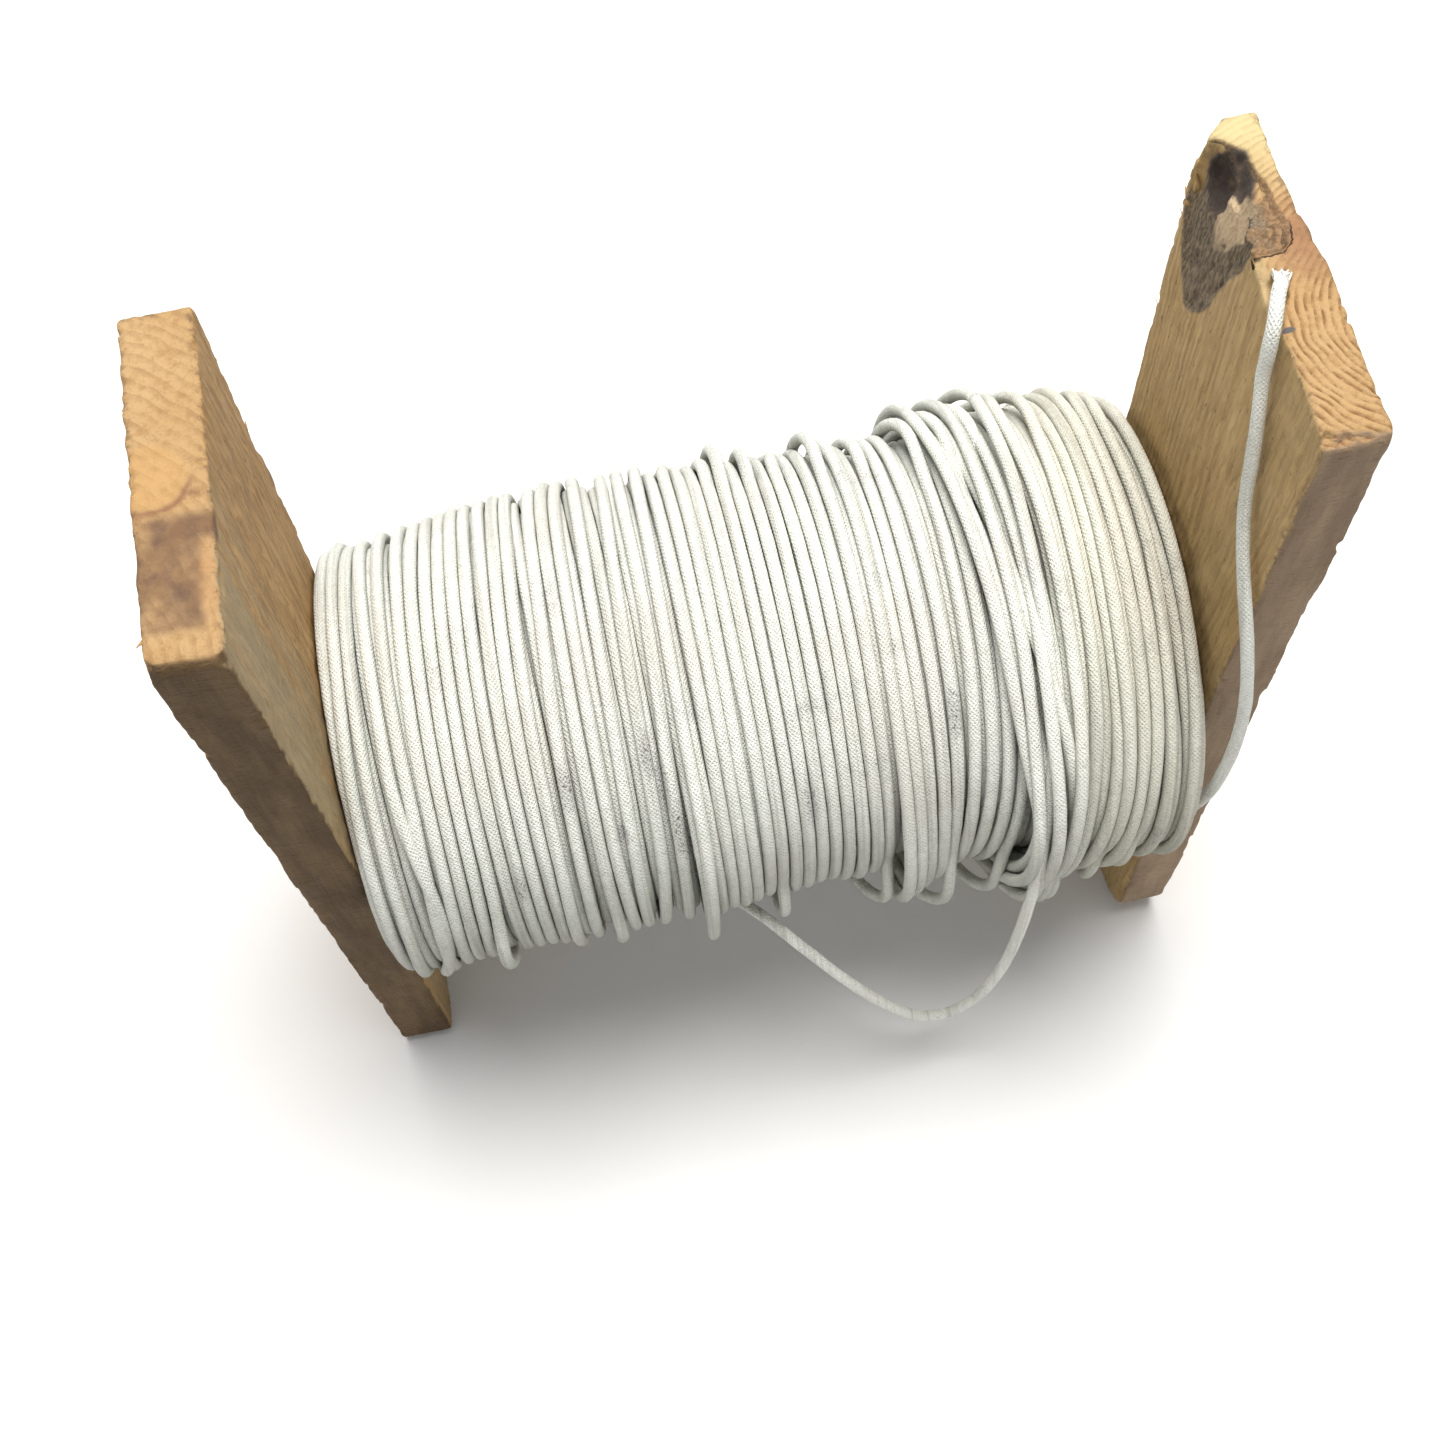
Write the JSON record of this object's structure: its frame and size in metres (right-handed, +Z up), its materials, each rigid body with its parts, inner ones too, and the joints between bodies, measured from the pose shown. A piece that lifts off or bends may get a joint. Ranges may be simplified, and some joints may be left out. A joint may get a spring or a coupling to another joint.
{
  "type": "waxed cord reel",
  "caption": "Home-made reel: two rough pine end boards nailed to a wooden core and wound with waxed cotton cord, its end held in a notch.",
  "frame": {"origin": "bottom centre of the reel's box, on the surface that it stands on", "axes": "+Z up along the end boards, X along the reel's core, -Y the front"},
  "size_m": [0.2152, 0.1245, 0.2524],
  "materials": {
    "pine_board": "rough-sawn, worn, unfinished",
    "knotty_pine_board": "rough-sawn, worn, with a dark bark knot",
    "core_wood": "rough-sawn",
    "nail_steel": "dull",
    "waxed_cord": "waxed braided cotton, slightly sooty"
  },
  "bodies": {
    "root": {"left_end_board": "pine_board", "right_end_board": "knotty_pine_board", "core_block": "core_wood", "nail_left_1": "nail_steel", "nail_left_2": "nail_steel", "nail_right_1": "nail_steel", "nail_right_2": "nail_steel", "cord_winding": "waxed_cord", "cord_tail": "waxed_cord", "cord_loop": "waxed_cord"}
  },
  "joints": []
}
